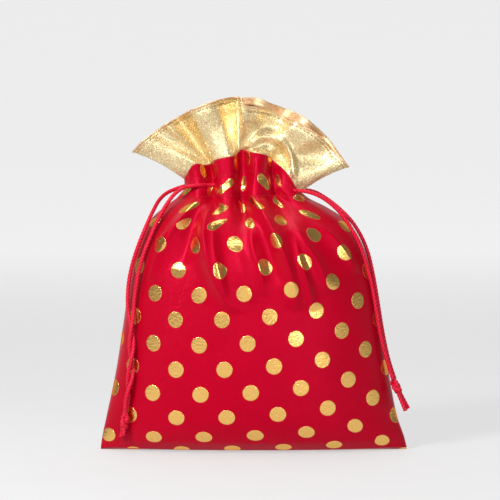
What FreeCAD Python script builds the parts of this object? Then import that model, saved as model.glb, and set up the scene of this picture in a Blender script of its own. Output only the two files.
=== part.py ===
"""Drawstring gift pouch: two satin panels sewn round three sides, a lame frill on a gathered neck,
and two drawstrings that run round the neck in a casing and hang down the sides to a knot.

Millimetres. The pouch stands on its bottom seam at z = 0, its front faces -Y, and x = 0 is midway
between the bottom corners.
"""

import FreeCAD
import Part

import math
import os

V = FreeCAD.Vector

# Cloth
cloth = 0.8                 # wall of a panel or frill, its foil and lining included
seam_allowance = 6.0        # raw edge left inside every seam
thread = 0.3                # width of a line of stitching
thread_rise = 0.2           # how far the stitching stands on the cloth
slack = 0.3                 # clearance between cloth and whatever moves in it

# Body of the pouch: half-widths to the left and right of x = 0, and half-depths, at each height
corner_reach = 90.0         # bottom corner, so the flat pouch is twice this wide
base_depth = 17.0           # half-depth of the flat that it stands on
foot_height = 7.0
foot_reach = corner_reach - 1.4  # the sides are almost upright at the foot
foot_depth = 24.0
belly_height = 45.0
belly_left = 81.0
belly_right = 79.5
belly_depth = 31.0
waist_height = 95.0
waist_left = 73.0
waist_right = 70.5
waist_depth = 32.0
shoulder_height = 126.0
shoulder_left = 65.5
shoulder_right = 60.0
shoulder_depth = 27.0

# Neck and its casing
neck_base = 146.0
neck_top = 162.0
neck_centre = -7.5          # the neck is gathered a little to the left
neck_reach = 33.5
neck_depth = 14.2
casing_floor = 148.6        # lower line of stitching
casing_height = 9.8         # from the lower line of stitching to the upper one
tape_reach = 19.0           # half-length of the tapes that close the casing
gap_height = 8.0            # opening in the side seams where the drawstrings leave
gap_from = 23.5             # the opening begins this far from the middle of the neck

# Drawstrings
cord = 2.4                  # diameter of the satin cord
cord_pitch = 3.2            # the two drawstrings run one above the other, this far apart
run_depth = 11.2            # distance of a drawstring from the middle of the casing
exit_depth = 10.9           # the same where it leaves the casing
far_reach = 31.1            # from the middle of the neck to where a drawstring turns back
pivot_reach = 32.5          # from the middle of the neck to where its hanging ends begin
socket = 0.22               # clearance round the ball where a hanging end turns
knot_width = 6.6
knot_length = 9.4

# Hanging ends, by the points that their straight runs would meet at
left_level = casing_floor + (casing_height + cord_pitch) / 2
right_level = casing_floor + (casing_height - cord_pitch) / 2
left_exit = left_level - 0.9    # the left drawstring sags a little where it leaves
left_front_run = [
    (neck_centre - pivot_reach, -exit_depth, left_exit), (-47.2, -11.2, 151.0),
    (-54.0, -12.4, 139.5), (-60.0, -14.6, 125.0), (-64.5, -15.8, 106.0), (-68.5, -14.8, 84.0),
    (-70.8, -14.4, 62.0), (-72.8, -15.1, 38.0), (-75.8, -14.5, 15.4),
]
left_back_run = [
    (neck_centre - pivot_reach, exit_depth, left_exit), (-48.0, 10.2, 152.0),
    (-55.5, 4.6, 146.5), (-62.0, -6.5, 136.5), (-67.8, -11.6, 118.0), (-72.0, -9.4, 98.0),
    (-73.8, -9.6, 78.0), (-74.6, -11.4, 58.0), (-76.4, -12.3, 36.0), (-77.4, -12.3, 15.4),
]
right_front_run = [
    (neck_centre + pivot_reach, -exit_depth, right_level), (33.0, -exit_depth, right_level),
    (42.5, -11.4, 146.0), (51.5, -12.8, 134.0), (58.5, -14.2, 119.0), (63.5, -14.9, 101.0),
    (66.8, -14.8, 84.0), (70.0, -13.8, 69.0), (75.0, -11.2, 54.0), (81.5, -7.2, 39.4),
]
right_back_run = [
    (neck_centre + pivot_reach, exit_depth, right_level), (33.5, exit_depth, right_level),
    (43.5, 5.0, 146.0), (52.5, -7.6, 136.0), (60.8, -10.8, 121.5), (65.5, -11.4, 105.0),
    (69.4, -10.4, 88.0), (72.6, -9.2, 71.0), (76.8, -6.8, 55.0), (82.3, -4.6, 39.7),
]
left_knot_at = (-76.7, -13.5, 12.8)
left_knot_along = (-0.05, 0.0, -1.0)
left_tails = [[(-77.3, -12.2, 10.6), (-78.0, -12.0, 4.6)], [(-76.3, -14.8, 10.6), (-76.6, -15.0, 5.4)]]
right_knot_at = (83.1, -6.0, 37.2)
right_knot_along = (0.45, -0.05, -0.89)
right_tails = [[(84.6, -4.7, 35.0), (90.2, -5.0, 24.4)], [(83.7, -7.4, 35.0), (88.4, -8.3, 23.4)]]

# Frill
frill_root = 158.6
frill_root_depth = 7.5
frill_spread = 63.0         # half-width from tip to tip
frill_depth = 9.0
frill_tip = 171.0           # height of the tips above the floor, before the tilt
frill_crown = 206.0         # highest point of the rim
frill_tilt = 0.074          # rise of the left tip over the right one, per millimetre of width
hem = 4.5                   # turned-in edge of the frill
hem_line = 2.3              # line of stitching below the rim
lean_clearance = 1.5        # keeps the frill off the neck while it leans

EDGE_POINTS = 13            # points in half a cross-section
BIG = 400.0


def across(centre, reach, depth, height, flatness=2.0, roundness=2.0, tilt=0.0):
    """Closed wire round the pouch at one height: a front and a back spline that meet at the side seams."""
    wires = []
    for side in (-1, 1):
        points = []
        for i in range(EDGE_POINTS):
            c = -math.cos(math.pi * i / (EDGE_POINTS - 1))
            y = side * depth * (1 - abs(c) ** flatness) ** (1 / roundness)
            points.append(V(centre + reach * c, y, height + tilt * reach * c))
        curve = Part.BSplineCurve()
        curve.interpolate(Points=points, Parameters=[float(i) for i in range(EDGE_POINTS)])
        wires.append(curve.toShape())
    return Part.Wire(wires)


def skin(sections):
    """Solid through the cross-sections."""
    solid = Part.makeLoft(sections, True, False)
    if solid.Volume < 0:
        solid.reverse()
    return solid


def stations(floor):
    """Height, left and right reach, depth and form of each cross-section of the body."""
    return (
        (floor, corner_reach, corner_reach, base_depth, 2.0, 1.15),
        (foot_height, foot_reach, foot_reach, foot_depth, 2.0, 1.3),
        (belly_height, belly_left, belly_right, belly_depth, 2.0, 1.6),
        (waist_height, waist_left, waist_right, waist_depth, 2.0, 1.8),
        (shoulder_height, shoulder_left, shoulder_right, shoulder_depth, 2.2, 2.0),
        (neck_base, neck_reach - neck_centre, neck_reach + neck_centre, neck_depth, 6.0, 3.0),
    )


def body_form(inset, floor):
    """The pouch up to its neck, taken in by inset, with its lowest section at floor."""
    return skin([
        across((right - left) / 2, (right + left) / 2 - inset, depth - inset, height, flat, round_)
        for height, left, right, depth, flat, round_ in stations(floor)
    ])


def neck_form(inset):
    """Straight gathered neck, taken in by inset."""
    wire = across(neck_centre, neck_reach - inset, neck_depth - inset, neck_base, 6.0, 3.0)
    return Part.Face(wire).extrude(V(0, 0, neck_top - neck_base))


def frill_form(inset):
    """The fan that stands on the neck, before its rim is cut, taken in by inset."""
    over_neck = neck_top + lean_clearance
    root_reach = neck_reach - cloth - slack
    levels = (
        (frill_root, root_reach, frill_root_depth, 0.0),
        (over_neck, root_reach, frill_root_depth, 0.0),
        ((over_neck + frill_tip) / 2, (root_reach + frill_spread) / 2, frill_root_depth, -frill_tilt / 2),
        (frill_tip, frill_spread, frill_depth, -frill_tilt),
        (frill_crown + hem, frill_spread, frill_depth, -frill_tilt),
    )
    parts = []
    for pair in zip(levels, levels[1:]):
        parts.append(skin([
            across(neck_centre, reach - inset, depth - inset, height, 2.0, 2.0, tilt)
            for height, reach, depth, tilt in pair
        ]))
    return parts[0].multiFuse(parts[1:]).removeSplitter()


def rim_disc(inset):
    """Round block whose edge is the frill's rim, drawn in by inset."""
    drop = frill_crown - frill_tip
    radius = (frill_spread ** 2 + drop ** 2) / (2 * drop)
    return Part.makeCylinder(radius - inset, BIG, V(neck_centre, BIG / 2, frill_crown - radius), V(0, -1, 0))


def half(shape, side):
    """The part of a shape in front of (-1) or behind (1) the side seams."""
    near = 0 if side > 0 else -BIG / 2
    return shape.common(Part.makeBox(BIG, BIG / 2, BIG, V(-BIG / 2, near, -BIG / 4)))


def slab(bottom, top):
    """All space between two heights."""
    return Part.makeBox(BIG, BIG, top - bottom, V(-BIG / 2, -BIG / 2, bottom))


def seam_gap(side):
    """The opening in a side seam that a drawstring leaves by."""
    start = neck_centre + side * gap_from
    low = casing_floor + (casing_height - gap_height) / 2
    corner = V(min(start, start + side * BIG / 4), -BIG / 2, low)
    return Part.makeBox(BIG / 4, BIG, gap_height, corner)


def panels():
    """Front and back panels, open at the neck, with the gaps for the drawstrings."""
    shell = body_form(0, 0).fuse(neck_form(0))
    shell = shell.cut(body_form(cloth, cloth)).cut(neck_form(cloth))
    shell = shell.cut(seam_gap(-1)).cut(seam_gap(1))
    return {"front_panel": half(shell, -1), "back_panel": half(shell, 1)}


def outline(inset):
    """Upright prism with the pouch's front outline, drawn in by inset, down to the same inset."""
    rows = stations(inset)[:-1]
    right = [V(right - inset, 0, height) for height, _, right, _, _, _ in rows]
    left = [V(inset - left, 0, height) for height, left, _, _, _, _ in rows]
    top = [V(neck_centre + neck_reach, 0, neck_base), V(neck_centre - neck_reach, 0, neck_base)]
    wire = Part.makePolygon(right + top + left[::-1] + right[:1])
    return Part.Face(wire).extrude(V(0, BIG / 2, 0)).fuse(Part.Face(wire).extrude(V(0, -BIG / 2, 0)))


def seam_allowances():
    """Raw edges inside the side and bottom seams, two layers together, and the thread along each."""
    inside = body_form(cloth, cloth).common(slab(0, neck_base - seam_allowance))
    layer = Part.makeBox(BIG, cloth, BIG, V(-BIG / 2, -cloth / 2, -BIG / 2))
    deep = cloth + seam_allowance
    middle = cloth + seam_allowance / 2
    strip = inside.common(layer).cut(outline(deep))
    on_strip = Part.makeBox(BIG, thread_rise, BIG, V(-BIG / 2, -cloth / 2 - thread_rise, -BIG / 2))
    row = inside.common(on_strip).common(outline(middle)).cut(outline(middle + thread))
    made = {}
    for name, zone in (
        ("left", slab(deep, BIG).common(Part.makeBox(BIG, BIG, BIG, V(-BIG, -BIG / 2, 0)))),
        ("right", slab(deep, BIG).common(Part.makeBox(BIG, BIG, BIG, V(0, -BIG / 2, 0)))),
        ("bottom", slab(0, deep)),
    ):
        made[f"{name}_seam_allowance"] = strip.common(zone)
        made[f"{name}_seam_stitching"] = row.common(zone)
    return made


def casing():
    """Tapes that close the casing on the inside of each panel, and the two lines of stitching."""
    face = exit_depth - cord / 2 - slack
    made = {}
    for name, near in (("front_casing_tape", -face), ("back_casing_tape", face - cloth)):
        corner = V(neck_centre - tape_reach, near, casing_floor)
        made[name] = Part.makeBox(2 * tape_reach, cloth, casing_height, corner)
    ring = neck_form(-thread_rise).cut(neck_form(0))
    for name, height in (("lower", casing_floor), ("upper", casing_floor + casing_height)):
        made[f"{name}_casing_stitching"] = ring.common(slab(height - thread / 2, height + thread / 2))
    return made


def frill():
    """Front and back of the frill, the hems turned in along their rims, and the thread of each hem."""
    outside, inside = frill_form(0), frill_form(cloth)
    wall = outside.cut(inside).common(rim_disc(0))
    fold = inside.cut(frill_form(2 * cloth)).common(rim_disc(0)).cut(rim_disc(hem))
    row = frill_form(-thread_rise).cut(outside).common(rim_disc(hem_line)).cut(rim_disc(hem_line + thread))
    made = {}
    for name, side in (("front", -1), ("back", 1)):
        made[f"{name}_frill"] = half(wall, side)
        made[f"{name}_frill_hem"] = half(fold, side)
        made[f"{name}_hem_stitching"] = half(row, side)
    return made


def tube(name, points):
    """Cord along straight runs joined by tangent arcs; prints its smallest bend and checks its volume."""
    corners = [V(*point) for point in points]
    edges, at, tightest = [], corners[0], None
    for before, corner, after in zip(corners, corners[1:], corners[2:]):
        into, out = (corner - before), (after - corner)
        turn = into.getAngle(out)
        reach = 0.45 * min(into.Length, out.Length)
        radius = reach / math.tan(turn / 2)
        into.normalize()
        out.normalize()
        start, end = corner - into * reach, corner + out * reach
        inward = out - into
        inward.normalize()
        middle = corner + inward * (math.hypot(radius, reach) - radius)
        edges += [Part.makeLine(at, start), Part.Arc(start, middle, end).toShape()]
        at = end
        tightest = radius if tightest is None else min(tightest, radius)
    edges.append(Part.makeLine(at, corners[-1]))
    path = Part.Wire(edges)
    profile = Part.Wire(Part.makeCircle(cord / 2, corners[0], corners[1] - corners[0]))
    solid = path.makePipeShell([profile], True, False)
    expected = math.pi * cord ** 2 / 4 * path.Length
    print(f"{name}: length {path.Length:.1f}, smallest bend {tightest or 0:.1f}, "
          f"volume {solid.Volume / expected:.4f} of section by length")
    return solid


def knot(at, along):
    """Rounded body of an overhand knot, long axis along the cord."""
    profile = Part.Ellipse(V(0, 0, 0), knot_length / 2, knot_width / 2)
    edge = Part.Edge(profile, 0, math.pi)
    face = Part.Face(Part.Wire([edge, Part.makeLine(edge.Vertexes[-1].Point, edge.Vertexes[0].Point)]))
    solid = face.revolve(V(0, 0, 0), V(1, 0, 0), 360)
    solid.Placement = FreeCAD.Placement(V(*at), FreeCAD.Rotation(V(1, 0, 0), V(*along)))
    return solid


def drawstring(name, side, level, leave, runs, at, along, tails):
    """One drawstring: its loop in the casing, both hanging ends, the knot that joins them and two tails."""
    def x(reach):
        return neck_centre + side * reach

    loop = tube(f"{name}_drawstring", [
        (x(-pivot_reach), -exit_depth, leave), (x(-14.0), -run_depth, level), (x(5.0), -run_depth, level),
        (x(far_reach), -exit_depth, level), (x(far_reach), exit_depth, level),
        (x(5.0), run_depth, level), (x(-14.0), run_depth, level), (x(-pivot_reach), exit_depth, leave),
    ])
    made = {}
    for which, points in zip(("front", "back"), runs):
        pivot = V(*points[0])
        end = tube(f"{name}_{which}_end", points)
        made[f"{name}_{which}_end"] = end.fuse(Part.makeSphere(cord / 2, pivot)).removeSplitter()
        loop = loop.cut(Part.makeSphere(cord / 2 + socket, pivot))
    made[f"{name}_drawstring"] = loop
    for which, points in zip(("first", "second"), tails):
        made[f"{name}_{which}_tail"] = tube(f"{name}_{which}_tail", points)
    made[f"{name}_knot"] = knot(at, along)
    return made


def build():
    """Every piece of the pouch by name."""
    made = {}
    made.update(panels())
    made.update(seam_allowances())
    made.update(casing())
    made.update(frill())
    made.update(drawstring("left", 1, left_level, left_exit, (left_front_run, left_back_run),
                           left_knot_at, left_knot_along, left_tails))
    made.update(drawstring("right", -1, right_level, right_level, (right_front_run, right_back_run),
                           right_knot_at, right_knot_along, right_tails))
    return made


os.makedirs("parts", exist_ok=True)
for name, shape in build().items():
    solids = shape.Solids
    print(f"{name}: {len(solids)} solid, {shape.Volume:.1f} mm3, valid {shape.isValid()}")
    whole = solids[0] if len(solids) == 1 else Part.makeCompound(solids)
    whole.exportStep(f"parts/{name}.step")
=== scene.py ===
"""Looks of the drawstring gift pouch: printed satin body, lame frill, twisted satin drawstrings.

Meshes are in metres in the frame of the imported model: +X right, -Y towards the viewer, +Z up. The pouch's own
sizes are written in millimetres and the studio's in metres.
"""

import logging
import math
from dataclasses import dataclass, field
from enum import Enum
from typing import Sequence

import bmesh
import bpy
import numpy as np
from bpy.types import Material, Node, NodeSocket, Object
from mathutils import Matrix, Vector

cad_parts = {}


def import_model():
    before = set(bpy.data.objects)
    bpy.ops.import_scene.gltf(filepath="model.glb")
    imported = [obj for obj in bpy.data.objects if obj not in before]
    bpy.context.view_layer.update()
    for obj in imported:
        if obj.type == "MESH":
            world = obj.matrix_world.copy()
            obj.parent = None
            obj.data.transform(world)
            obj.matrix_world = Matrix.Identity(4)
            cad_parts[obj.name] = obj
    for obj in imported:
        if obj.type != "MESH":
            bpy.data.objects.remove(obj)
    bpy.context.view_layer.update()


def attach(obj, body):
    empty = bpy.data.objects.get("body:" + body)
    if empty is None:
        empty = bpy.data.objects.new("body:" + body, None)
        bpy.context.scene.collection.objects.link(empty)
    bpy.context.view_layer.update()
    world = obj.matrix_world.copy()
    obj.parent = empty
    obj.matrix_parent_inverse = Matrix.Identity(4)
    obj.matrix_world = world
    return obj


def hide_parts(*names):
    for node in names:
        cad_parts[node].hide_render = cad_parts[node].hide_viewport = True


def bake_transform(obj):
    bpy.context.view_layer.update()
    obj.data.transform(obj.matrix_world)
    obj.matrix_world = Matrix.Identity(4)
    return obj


MM = 0.001
log = logging.getLogger("pouch")
Array = np.ndarray
Finishes = dict[str, Material]
Point = tuple[float, float, float]
Points = Sequence[Point]


class Side(Enum):
    """The two faces of the pouch; the value is the sign of y."""

    FRONT = -1
    BACK = 1


# ---------------------------------------------------------------- shapes

def smooth(low: float, high: float, x: Array) -> Array:
    """Soft step from 0 at low to 1 at high: 3t^2 - 2t^3."""
    t = np.clip((np.asarray(x, float) - low) / (high - low), 0, 1)
    return t * t * (3 - 2 * t)


def through(at: Sequence[float], values: Sequence[float], x: Array) -> Array:
    """Smooth curve through given values that never overshoots between them.

    A cubic Hermite in each span, with the harmonic mean of the neighbouring slopes at each knot.

    Args:
        at: where the values are given, rising.
        values: the value at each of those places.
        x: where the curve is wanted.

    Returns:
        The curve's height at x.
    """
    k, v = np.asarray(at, float), np.asarray(values, float)
    h = np.diff(k)
    slope = np.diff(v) / h
    product = slope[:-1] * slope[1:]
    total = slope[:-1] + slope[1:]
    inner = np.where(product > 0, 2 * product / np.where(np.abs(total) < 1e-12, 1, total), 0)
    tangent = np.concatenate([[slope[0]], inner, [slope[-1]]])
    i = np.clip(np.searchsorted(k, x, side="right") - 1, 0, len(h) - 1)
    t = np.clip((x - k[i]) / h[i], 0, 1)
    a = 2 * t**3 - 3 * t**2 + 1
    b = (t**3 - 2 * t**2 + t) * h[i]
    c = (t**3 - t**2) * h[i]
    return a * v[i] + b * tangent[i] + (1 - a) * v[i + 1] + c * tangent[i + 1]


def unit(vectors: Array) -> Array:
    """The same directions with length 1."""
    return vectors / (np.linalg.norm(vectors, axis=-1, keepdims=True) + 1e-12)


def along(line: Array) -> Array:
    """Distance from the first point along rows of points (..., n, 3)."""
    steps = np.linalg.norm(np.diff(line, axis=-2), axis=-1)
    return np.concatenate([np.zeros_like(steps[..., :1]), np.cumsum(steps, axis=-1)], axis=-1)


def new_object(name: str, points: Array, faces: Array, uv: Array | None = None) -> Object:
    """Object from a list of points, quads and an optional (u, v) for each point.

    Args:
        name: name of the piece.
        points: (n, 3) in metres.
        faces: (m, 4) point numbers, turned so that the face looks outwards.
        uv: (n, 2) cloth coordinates in metres.

    Returns:
        The linked object, shaded smooth.
    """
    mesh = bpy.data.meshes.new(name)
    mesh.from_pydata(points.reshape(-1, 3).tolist(), [], faces.reshape(-1, 4).tolist())
    if uv is not None:
        layer = mesh.uv_layers.new(name="cloth")
        corner = np.empty(len(mesh.loops), np.int32)
        mesh.loops.foreach_get("vertex_index", corner)
        layer.data.foreach_set("uv", uv.reshape(-1, 2)[corner].astype(np.float32).ravel())
    mesh.polygons.foreach_set("use_smooth", np.ones(len(mesh.polygons), bool))
    mesh.update()
    obj = bpy.data.objects.new(name, mesh)
    bpy.context.collection.objects.link(obj)
    return obj


def grid_faces(rows: int, columns: int, wrap: bool = False, flip: bool = False) -> Array:
    """Quads of a grid of points numbered row by row.

    Args:
        rows: number of rows.
        columns: number of columns.
        wrap: joins the last column to the first.
        flip: turns the faces over.

    Returns:
        (m, 4) point numbers.
    """
    i, j = np.meshgrid(np.arange(rows - 1), np.arange(columns if wrap else columns - 1), indexing="ij")
    k = (j + 1) % columns
    quads = np.stack([i * columns + j, i * columns + k, (i + 1) * columns + k, (i + 1) * columns + j], -1)
    quads = quads.reshape(-1, 4)
    return quads[:, ::-1] if flip else quads


def thicken(obj: Object, thickness: float, offset: float = -1.0) -> None:
    """Gives a sheet its thickness.

    Args:
        obj: the sheet.
        thickness: in metres.
        offset: -1 puts all of it on the inner side, 0 half of it on each side.
    """
    wall = obj.modifiers.new("thickness", "SOLIDIFY")
    wall.thickness = thickness
    wall.offset = offset


def facing(grid: Array, side: Side) -> Array:
    """Directions square to the cloth, on the side that shows: the cross of its two directions on the grid.

    Args:
        grid: (rows, columns, 3) points, rows rising and columns running to the right.
        side: front or back.

    Returns:
        (rows, columns, 3) unit vectors.
    """
    up = np.gradient(grid, axis=0)
    right = np.gradient(grid, axis=1)
    return unit(np.cross(right, up)) * -side.value


def outward(obj: Object, merge: float = 0.0, close: int = 0) -> Object:
    """Turns every face of a piece outwards.

    Args:
        obj: the piece.
        merge: points nearer than this, in metres, become one.
        close: holes with up to this many sides are filled.

    Returns:
        The piece.
    """
    work = bmesh.new()
    work.from_mesh(obj.data)
    if merge:
        bmesh.ops.remove_doubles(work, verts=work.verts, dist=merge)
    if close:
        bmesh.ops.holes_fill(work, edges=work.edges, sides=close)
    bmesh.ops.recalc_face_normals(work, faces=work.faces)
    work.to_mesh(obj.data)
    work.free()
    return obj


def dress(obj: Object, material: Material, node: str) -> Object:
    """Gives a piece its finish and hides the CAD piece that it stands for, whose name it logs.

    Args:
        obj: the piece, already on its body or with its placement baked into its points.
        material: its finish.
        node: the CAD piece.

    Returns:
        The piece.
    """
    obj.data.materials.append(material)
    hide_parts(node)
    log.info("%s stands for %s", obj.name, node)
    return obj


def frames(line: Array, aside: Point) -> tuple[Array, Array]:
    """Two directions square to a line: the part of aside that is square to it, and its cross with the line.

    Args:
        line: (n, 3) points.
        aside: a direction that the line never runs along.

    Returns:
        Two arrays of (n, 3) unit vectors.
    """
    run = unit(np.gradient(line, axis=0))
    first = unit(np.asarray(aside, float) - run * (run @ np.asarray(aside, float))[:, None])
    return first, np.cross(run, first)


def twisted(name: str, line: Array, radius: float, pitch: float, plies: int = 3,
            aside: Point = (0.0, 1.0, 0.0)) -> Object:
    """Twisted cord along a line, closed by a small dome at both ends.

    Its radius is r * (0.78 + 0.22 * |cos(plies * (a - 2 pi s / pitch) / 2)|^0.7) at angle a and distance s.

    Args:
        name: name of the piece.
        line: (n, 3) centreline in metres.
        radius: half the cord's thickness.
        pitch: length of one turn of the twist.
        plies: number of yarns.
        aside: a direction that the line never runs along.

    Returns:
        The cord.
    """
    sides = 18
    first, second = frames(line, aside)
    s = along(line)[:, None]
    a = np.linspace(0, 2 * np.pi, sides, endpoint=False)[None]
    phase = plies * (a - 2 * np.pi * s / pitch) / 2
    r = radius * (0.78 + 0.22 * np.abs(np.cos(phase)) ** 0.7)
    out = np.cos(a)[..., None] * first[:, None] + np.sin(a)[..., None] * second[:, None]
    points = line[:, None] + r[..., None] * out
    # The first cloth coordinate is the ply phase. From it the yarn paints highlight on each ply's ridge and
    # shade in the grooves between plies.
    uv = np.stack([phase * MM, s + 0 * a], -1)
    shrink = np.array([0.0, 0.82])[:, None, None]
    start, end = (line[k] + (points[k] - line[k]) * shrink for k in (0, -1))
    points = np.concatenate([start, points, end[::-1]])
    uv = np.concatenate([uv[:1], uv[:1], uv, uv[-1:], uv[-1:]])
    obj = new_object(name, points, grid_faces(len(points), sides, wrap=True), uv)
    return outward(obj, merge=0.002 * MM)


def stitches(name: str, lines: list[tuple[Array, Array]], long: float, gap: float,
             radius: float) -> Object:
    """Separate stitches laid end to end along lines on the cloth, as one piece.

    Each stitch is a spindle of five rings. At share t of its length its middle stands radius * 4 t (1 - t)
    above the cloth, so both its tips end in the cloth.

    Args:
        name: name of the piece.
        lines: pairs of (n, 3) points on the cloth and the (n, 3) normals there.
        long: length of a stitch.
        gap: space to the next one.
        radius: half the thread's thickness.

    Returns:
        The thread.
    """
    sides = 6
    share = np.array([0.0, 0.12, 0.5, 0.88, 1.0])
    fat = np.array([0.05, 0.8, 1.0, 0.8, 0.05])
    a = np.linspace(0, 2 * np.pi, sides, endpoint=False)
    one = grid_faces(len(share), sides, wrap=True)
    points, faces, start = [], [], 0
    for line, normal in lines:
        s = along(line)
        count = max(1, int(s[-1] / (long + gap)))
        at = (np.arange(count)[:, None] + 0.5) * s[-1] / count + (share - 0.5) * long
        centre = np.stack([np.interp(at, s, line[:, k]) for k in range(3)], -1)
        out = np.stack([np.interp(at, s, normal[:, k]) for k in range(3)], -1)
        across = np.cross(unit(np.gradient(centre, axis=1)), out)
        centre = centre + out * (radius * (4 * share * (1 - share))[None, :, None])
        ring = (np.cos(a)[:, None] * out[..., None, :] + np.sin(a)[:, None] * across[..., None, :])
        block = centre[..., None, :] + ring * (radius * fat)[None, :, None, None]
        offsets = start + np.arange(count)[:, None, None] * len(share) * sides
        points.append(block.reshape(-1, 3))
        faces.append((one[None] + offsets).reshape(-1, 4))
        start += count * len(share) * sides
    return outward(new_object(name, np.concatenate(points), np.concatenate(faces)), close=sides)


# ---------------------------------------------------------------- shader maths

@dataclass(frozen=True)
class Signal:
    """A number that changes over a surface, on which Python's operators add Math nodes."""

    shader: "Shader"
    socket: NodeSocket

    def do(self, operation: str, *others: "Signal | float", clamp: bool = False) -> "Signal":
        """One Math node.

        Args:
            operation: Blender's name for it.
            others: its second and third values.
            clamp: keeps the result from 0 to 1.

        Returns:
            The node's value.
        """
        return self.shader.math(operation, self, *others, clamp=clamp)

    def __add__(self, other: "Signal | float") -> "Signal":
        """Sum."""
        return self.do("ADD", other)

    def __mul__(self, other: "Signal | float") -> "Signal":
        """Product."""
        return self.do("MULTIPLY", other)

    def __sub__(self, other: "Signal | float") -> "Signal":
        """Difference."""
        return self.do("SUBTRACT", other)

    def __rsub__(self, other: float) -> "Signal":
        """Difference from a number."""
        return self.shader.math("SUBTRACT", other, self)

    def __truediv__(self, other: "Signal | float") -> "Signal":
        """Quotient."""
        return self.do("DIVIDE", other)

    def __rtruediv__(self, other: float) -> "Signal":
        """Quotient of a number."""
        return self.shader.math("DIVIDE", other, self)

    __radd__ = __add__
    __rmul__ = __mul__

    def held(self) -> "Signal":
        """The same, kept from 0 to 1."""
        return self.do("ADD", 0.0, clamp=True)

    def step(self, low: float, high: float) -> "Signal":
        """Soft step from 0 where this is low to 1 where it is high."""
        node = self.shader.node("ShaderNodeMapRange", {"interpolation_type": "SMOOTHSTEP"},
                                {"Value": self, "From Min": low, "From Max": high})
        return Signal(self.shader, node.outputs["Result"])


class Shader:
    """Builds the nodes of one material round a Principled BSDF."""

    def __init__(self, name: str) -> None:
        """Makes the material with its one shader."""
        self.material = bpy.data.materials.new(name)
        self.material.use_nodes = True
        self.tree = self.material.node_tree
        self.surface = self.tree.nodes["Principled BSDF"]

    def node(self, kind: str, settings: dict | None = None, inputs: dict | None = None) -> Node:
        """One node.

        Args:
            kind: Blender's name of the node type.
            settings: its properties, by name.
            inputs: values or links of its sockets, by name or number.

        Returns:
            The node.
        """
        made = self.tree.nodes.new(kind)
        for key, value in (settings or {}).items():
            setattr(made, key, value)
        for key, value in (inputs or {}).items():
            self.feed(made.inputs[key], value)
        return made

    def feed(self, socket: NodeSocket, value: object) -> None:
        """Links a signal or socket to a socket, or sets its number or colour.

        Args:
            socket: the one to feed.
            value: a signal, another socket, a number, a vector or a colour of three values.
        """
        if isinstance(value, Signal):
            self.tree.links.new(value.socket, socket)
        elif isinstance(value, NodeSocket):
            self.tree.links.new(value, socket)
        elif isinstance(value, tuple) and socket.type == "RGBA" and len(value) == 3:
            socket.default_value = (*value, 1)
        else:
            socket.default_value = value

    def math(self, operation: str, *values: Signal | float, clamp: bool = False) -> Signal:
        """One Math node over signals and numbers."""
        settings = {"operation": operation, "use_clamp": clamp}
        return Signal(self, self.node("ShaderNodeMath", settings, dict(enumerate(values))).outputs[0])

    def cloth(self) -> tuple[NodeSocket, Signal, Signal]:
        """The cloth's own coordinates in millimetres: as a vector, across it and up it."""
        uv = self.node("ShaderNodeUVMap", {"uv_map": "cloth"})
        inputs = {0: uv.outputs[0], "Scale": 1 / MM}
        scaled = self.node("ShaderNodeVectorMath", {"operation": "SCALE"}, inputs)
        parts = self.node("ShaderNodeSeparateXYZ", None, {0: scaled.outputs[0]})
        return scaled.outputs[0], Signal(self, parts.outputs[0]), Signal(self, parts.outputs[1])

    def place(self) -> NodeSocket:
        """Object coordinates."""
        return self.node("ShaderNodeTexCoord").outputs["Object"]

    def noise(self, where: NodeSocket, scale: Point, detail: float = 2.0) -> Signal:
        """Noise from 0 to 1.

        Args:
            where: the coordinates.
            scale: cells in a unit of each coordinate.
            detail: layers of finer noise.

        Returns:
            The noise.
        """
        mapped = self.node("ShaderNodeMapping", None, {"Vector": where, "Scale": scale})
        inputs = {"Vector": mapped.outputs[0], "Scale": 1.0, "Detail": detail}
        return Signal(self, self.node("ShaderNodeTexNoise", None, inputs).outputs[0])

    def grains(self, where: NodeSocket, scale: float) -> tuple[Signal, Signal]:
        """Random tones that are even inside each small cell.

        Args:
            where: the coordinates.
            scale: cells in a unit of them.

        Returns:
            Two tones from 0 to 1, apart from each other.
        """
        made = self.node("ShaderNodeTexVoronoi", None, {"Vector": where, "Scale": scale})
        parts = self.node("ShaderNodeSeparateColor", None, {0: made.outputs["Color"]})
        return Signal(self, parts.outputs[0]), Signal(self, parts.outputs[1])

    def mix(self, share: Signal | float, first: object, second: object) -> NodeSocket:
        """Colour from the first to the second as share goes from 0 to 1."""
        made = self.node("ShaderNodeMix", {"data_type": "RGBA"}, {0: share, 6: first, 7: second})
        return made.outputs[2]

    def bump(self, height: Signal, distance: float) -> NodeSocket:
        """Normal of a surface raised by height times distance in metres."""
        return self.node("ShaderNodeBump", None, {"Height": height, "Distance": distance}).outputs[0]

    def finish(self, **sockets: object) -> Material:
        """Feeds the shader's sockets, named with _ for a space, and returns the material."""
        for key, value in sockets.items():
            self.feed(self.surface.inputs[key.replace("_", " ")], value)
        return self.material


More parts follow.
